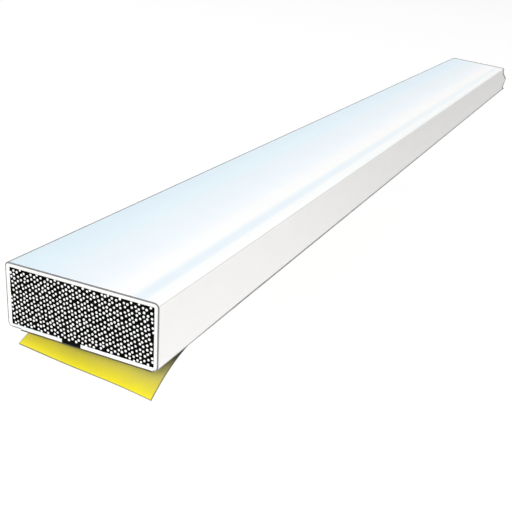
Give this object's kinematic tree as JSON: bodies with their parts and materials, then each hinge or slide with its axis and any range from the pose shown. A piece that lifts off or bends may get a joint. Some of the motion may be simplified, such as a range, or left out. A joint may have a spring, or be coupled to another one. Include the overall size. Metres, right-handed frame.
{
  "type": "intumescent fire seal strip",
  "caption": "Self-adhesive rectangular fire seal strip: slotted rigid casing around a granular core, with tape and a half-peeled liner.",
  "frame": {"origin": "on the adhesive plane, at the square-cut end, on the casing's centre line", "axes": "+X along the strip from the square cut to the broken end, +Z away from the surface that the strip is stuck to, +Y across the strip"},
  "size_m": [0.1186, 0.01, 0.006],
  "materials": {
    "casing": "satin",
    "bridge": "matte",
    "core": "matte",
    "tape": "satin",
    "liner": "satin"
  },
  "bodies": {
    "strip": {"casing": "casing", "slot_bridge": "bridge", "intumescent_core": "core", "adhesive_tape": "tape"},
    "liner": {"release_liner": "liner"},
    "tab": {"liner_tab": "liner"}
  },
  "joints": [
    {"name": "liner_peel", "type": "slide", "parent": "strip", "child": "liner", "axis": [0, 0, -1], "range_m": [0, 0.02]},
    {"name": "tab_bend", "type": "hinge", "parent": "liner", "child": "tab", "pos_m": [0.004, -0.00025, -0.0001], "axis": [0.224, -0.9746, 0], "range_deg": [0, 150], "stiffness_Nm_per_rad": 0.0000007}
  ]
}
